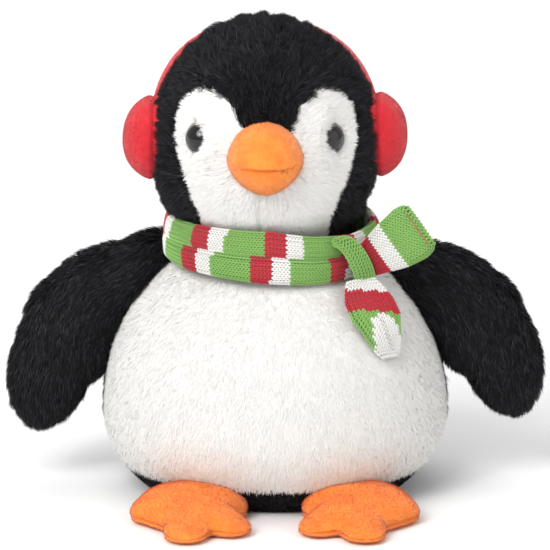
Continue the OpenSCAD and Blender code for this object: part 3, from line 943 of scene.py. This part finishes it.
def knit(name, body, path, across, out, half_w, half_t, stripe, closed, crease=None):
    """A flattened knitted tube along a path: its cloth and every stitch on it.

    stripe(s, w) gives the yarn at s millimetres along and w across; crease is the fold's depth.
    """
    phi = np.linspace(0, 2 * math.pi, 720, endpoint=False)
    wide, thick = float(np.mean(half_w)), float(np.mean(half_t))

    def section(phi, a, b, fold=0.0):
        c, s = np.cos(phi), np.sin(phi)
        x = a * powered(c, 0.9)
        return x, b * powered(s, 0.75) - fold * bell(x - CREASE_W, 1.7) * (s > 0)

    x, y = section(phi, wide, thick)
    run = np.hypot(np.diff(np.append(x, x[0])), np.diff(np.append(y, y[0])))
    length_round = run.sum()
    wales = int(round(length_round / WALE))
    at = np.interp(np.arange(wales) / wales * length_round,
                   np.concatenate([[0], np.cumsum(run)[:-1]]), phi)
    steps = np.linalg.norm(np.diff(np.vstack([path, path[:1]]) if closed else path, axis=0), axis=1)
    total = steps.sum()
    courses = int(round(total / COURSE))
    where = np.concatenate([[0], np.cumsum(steps)])[:len(path)]
    s = (np.arange(courses) + (0 if closed else 0.5)) / courses * total

    def along(values):
        values = np.asarray(values, float)
        if values.ndim == 2:
            return np.stack([along(column) for column in values.T], 1)
        return np.interp(s, where, values, period=total if closed else None)

    centre, side_way, out_way = along(path), unit(along(across)), unit(along(out))
    a, b = along(half_w), along(half_t)
    x, y = section(at[None, :], a[:, None], b[:, None], 0.0 if crease is None else along(crease)[:, None])
    points = centre[:, None] + side_way[:, None] * x[..., None] + out_way[:, None] * y[..., None]
    waves = ripple(points.reshape(-1, 3), 26, name).reshape(points.shape[:2])
    points += waves[..., None] * out_way[:, None] * 0.5

    if closed:
        ahead = unit(np.roll(points, -1, 0) - np.roll(points, 1, 0))
    else:
        ahead = unit(np.gradient(points, axis=0))
    round_way = unit(np.roll(points, -1, 1) - np.roll(points, 1, 1))
    normal = unit(np.cross(ahead, round_way))
    if (normal * (points - centre[:, None])).sum(-1).mean() < 0:
        normal = -normal

    colour = stripe(s[:, None] + 0 * x, x)
    cloth = points - normal * CLOTH_DEPTH
    rows = np.vstack([cloth, cloth[:1]]) if closed else cloth
    tris = tube_tris(len(rows), wales)
    verts = cloth.reshape(-1, 3)
    if closed:
        tris = tris % len(verts)
    face_colour = colour.reshape(-1)[tris[:, 0]]
    if not closed:
        for row, flip in ((0, 1), (courses - 1, -1)):
            verts = np.vstack([verts, cloth[row].mean(0)])
            rim = np.arange(wales)
            end = [np.full(wales, len(verts) - 1), row * wales + rim, row * wales + (rim + 1) % wales]
            tris = np.vstack([tris, np.stack(end, 1)[:, ::flip]])
        face_colour = np.concatenate([face_colour, np.repeat(colour[[0, -1], 0], wales)])
    # the cloth's darkened yarn colours are painted shade between the stitches
    base = make_object(name + "_cloth", verts, tris, KNIT_CLOTH_PAINTED_SHADE, face_colour)

    shape, shape_tris = leaf()
    leg_verts, leg_tris, leg_colour = [], [], []
    flat_points = points.reshape(-1, 3)
    t, w, n = ahead.reshape(-1, 3), round_way.reshape(-1, 3), normal.reshape(-1, 3)
    gap = np.linalg.norm(np.roll(points, -1, 1) - points, axis=-1).reshape(-1)
    rng = seeded(name)
    for hand in (-1, 1):
        slant = math.radians(LEG_SLANT) * hand + rng.normal(size=len(t)) * 0.05
        long = COURSE * 1.5 * rng.uniform(0.95, 1.08, len(t))
        axis = t * np.cos(slant)[:, None] + w * np.sin(slant)[:, None]
        flank = np.cross(n, axis)
        middle = flat_points + w * (gap * 0.25 * hand)[:, None] + n * 0.1
        leg = (middle[:, None] + axis[:, None] * shape[None, :, :1] * long[:, None, None]
               + flank[:, None] * shape[None, :, 1:2] * (gap * 0.47)[:, None, None]
               + n[:, None] * (shape[None, :, 2:] * 1.25 + 0.3 * shape[None, :, :1]))
        leg_verts.append(leg.reshape(-1, 3))
        leg_tris.append((shape_tris[None] + np.arange(len(t))[:, None, None] * len(shape)).reshape(-1, 3)
                        + len(t) * len(shape) * (hand > 0))
        leg_colour.append(np.repeat(colour.reshape(-1), len(shape_tris)))
    legs = make_object(name + "_stitches", np.vstack(leg_verts), np.vstack(leg_tris), YARN,
                       np.concatenate(leg_colour))
    settle(base, body, [name])
    settle(legs, body)


def bands(edges, colours, slope=0.0):
    """A stripe function: colours between those places along the scarf, slanted a little across it."""
    return lambda s, w: np.array(colours)[np.searchsorted(edges, s - slope * w)]


def loose_end(name, s, root, ways, bend, drift, wide, thick, stripe):
    """An end of the scarf from its root, bent towards the way it faces and drifting across."""
    ahead, side_way, facing = ways
    path = root + s[:, None] * ahead + bend[:, None] * facing + drift[:, None] * side_way
    knit(name, name, path, np.tile(side_way, (len(s), 1)), np.tile(facing, (len(s), 1)), wide, thick,
         stripe, False)


def make_scarf():
    n = 240
    round_at = np.linspace(-math.pi, math.pi, n, endpoint=False)  # 0 at the front, growing towards +X
    ring_r = 63.0
    stops = np.radians([-180, -90, -40, 0, 24, 50, 90, 130])
    height = np.interp(round_at, stops, [160, 159.5, 160, 158.5, 155.5, 154.5, 155.5, 158],
                       period=2 * math.pi)
    half = np.interp(round_at, stops, [13, 12.8, 14, 15.2, 14, 12.5, 12.5, 13], period=2 * math.pi)
    crease = np.interp(round_at, np.radians([-75, -45, 55, 75]), [0.6, 2.8, 2.8, 0.6])
    path = np.stack([-2 + ring_r * np.sin(round_at), -ring_r * np.cos(round_at), height], 1)
    outward = np.stack([np.sin(round_at), -np.cos(round_at), 0 * round_at - 0.05], 1)
    upward = np.stack([-0.06 * np.sin(round_at), 0.06 * np.cos(round_at), 0 * round_at + 1], 1)
    pitch, turn_mm, fold = 48.0, math.radians(1) * ring_r, 8.0

    def loop_stripe(s, w):
        """The lower roll of the folded band has slipped round a little, so its stripes are out of step."""
        place = (s - math.pi * ring_r - 2.6 - 0.03 * w + fold * (w < CREASE_W) + 28.3 * turn_mm) % pitch
        return np.where(place < 24, GREEN, np.where(place < 36, RED, WHITE))

    knit("scarf_loop", "torso", path, upward, outward, half, np.full(n, 3.6),
         loop_stripe, True, crease)

    rise = math.radians(35)
    root = np.array([62.0, -46.0, 156.0])
    ahead = np.array([math.cos(rise), 0, math.sin(rise)])
    side_way = np.array([-math.sin(rise), 0, math.cos(rise)])
    facing = np.array([0, -1.0, 0])
    s = np.linspace(-11, 33, 60)
    bend = 2.2 * np.sin(s / 33 * math.pi * 1.2)
    wide = np.interp(s, [-11, 0, 12, 24, 29, 32, 33], [8.5, 12, 15.5, 17.5, 16.8, 14.5, 12.5])
    thick = np.interp(s, [-11, 0, 24, 31, 33], [3.5, 3.8, 3.2, 2.6, 1.6])
    loose_end("scarf_tail_upper", s, root, (ahead, side_way, facing), bend, 0 * s, wide, thick,
              bands([12, 22.5], [RED, WHITE, GREEN]))

    hem_s, hem_proud = 29.5, 3.9
    hem = (root + hem_s * ahead + np.outer(np.linspace(-11, 11, 12), side_way)
           + (np.interp(hem_s, s, bend) + hem_proud) * facing)
    stitches("scarf_tail_upper_hem", hem, YARN[RED], 0.9, "scarf_tail_upper")

    def end_stripe(s, w):
        """White, red, then green with the white end folded up over its middle."""
        plain = bands([8, 22], [WHITE, RED, GREEN], 0.22)(s, w)
        leaf_half = np.interp(s, [22, 27, 40, 50], [0, 8.5, 10.5, 11])
        return np.where(np.abs(w - 1.0) < leaf_half, WHITE, plain)

    yaw, lean = math.radians(35), math.radians(23)
    root = np.array([54.0, -56.0, 138.0])
    away = np.array([math.sin(yaw), -math.cos(yaw), 0])
    ahead = np.array([0, 0, -1]) * math.cos(lean) + away * math.sin(lean)
    side_way = np.array([math.cos(yaw), math.sin(yaw), 0])
    facing = np.cross(ahead, side_way)
    facing = facing * (1 if facing @ away > 0 else -1)
    s = np.linspace(-6, 44, 66)
    bend = 2.0 * np.sin(s / 44 * math.pi)
    drift = np.interp(s, [-6, 6, 44], [-1, 0, 7])
    wide = np.interp(s, [-6, 0, 8, 18, 30, 38, 42, 44], [9, 13, 16.5, 17, 12.5, 9.5, 7, 4])
    thick = np.interp(s, [-6, 0, 30, 46, 48], [3.6, 3.8, 3.6, 2.6, 1.6])
    loose_end("scarf_tail_lower", s, root, (ahead, side_way, facing), bend, drift, wide, thick, end_stripe)
    seam_s = np.linspace(20, 40, 15)
    zigzag = 0.7 * (-1.0) ** np.arange(15)
    seam = (root + seam_s[:, None] * ahead + (np.interp(seam_s, s, bend) + 4.6)[:, None] * facing
            + (np.interp(seam_s, s, drift) + zigzag)[:, None] * side_way)
    stitches("scarf_tail_lower_seam", seam, SEAM_THREAD, 0.9, "scarf_tail_lower")

    middle = np.array([46.0, -49.0, 151.0])
    facing_side = math.radians(45)
    front = np.array([math.sin(facing_side), -math.cos(facing_side), 0])
    flank = np.array([math.cos(facing_side), math.sin(facing_side), 0])
    a = np.linspace(-1.9, 1.9, 50)
    deep, high, aside = 9.5, 15.5, 7.5
    path = (middle + np.outer(np.cos(a) * deep, front) + np.outer(np.sin(a) * high, [0, 0, 1.0])
            - np.outer(np.sin(a) * aside, flank))
    outward = np.outer(np.cos(a) / deep, front) + np.outer(np.sin(a) / high, [0, 0, 1.0])
    knit("scarf_knot", "torso", path, np.tile(flank, (50, 1)), outward,
         6.5 + 0.8 * np.cos(a), np.full(50, 3.0),
         lambda s, w: np.full(np.broadcast(s, w).shape, GREEN), False)


# ---------------- the CAD nodes that stay

def dress_cad():
    label, washer = weave_label(), washer_plastic()
    looks = {"pellet_pouch": POUCH, "care_label": label}
    for side, name in SIDE_NAME.items():
        looks["eye_" + name] = eye_material(side)
        looks["eye_washer_" + name] = washer
    for node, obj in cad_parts.items():
        if "stuffing" in node:
            looks[node] = STUFFING
        if node in looks:
            obj.data.materials.clear()
            obj.data.materials.append(looks[node])


make_head()
make_beak()
make_muffs()
make_body()
make_flippers()
make_feet()
make_scarf()
dress_cad()
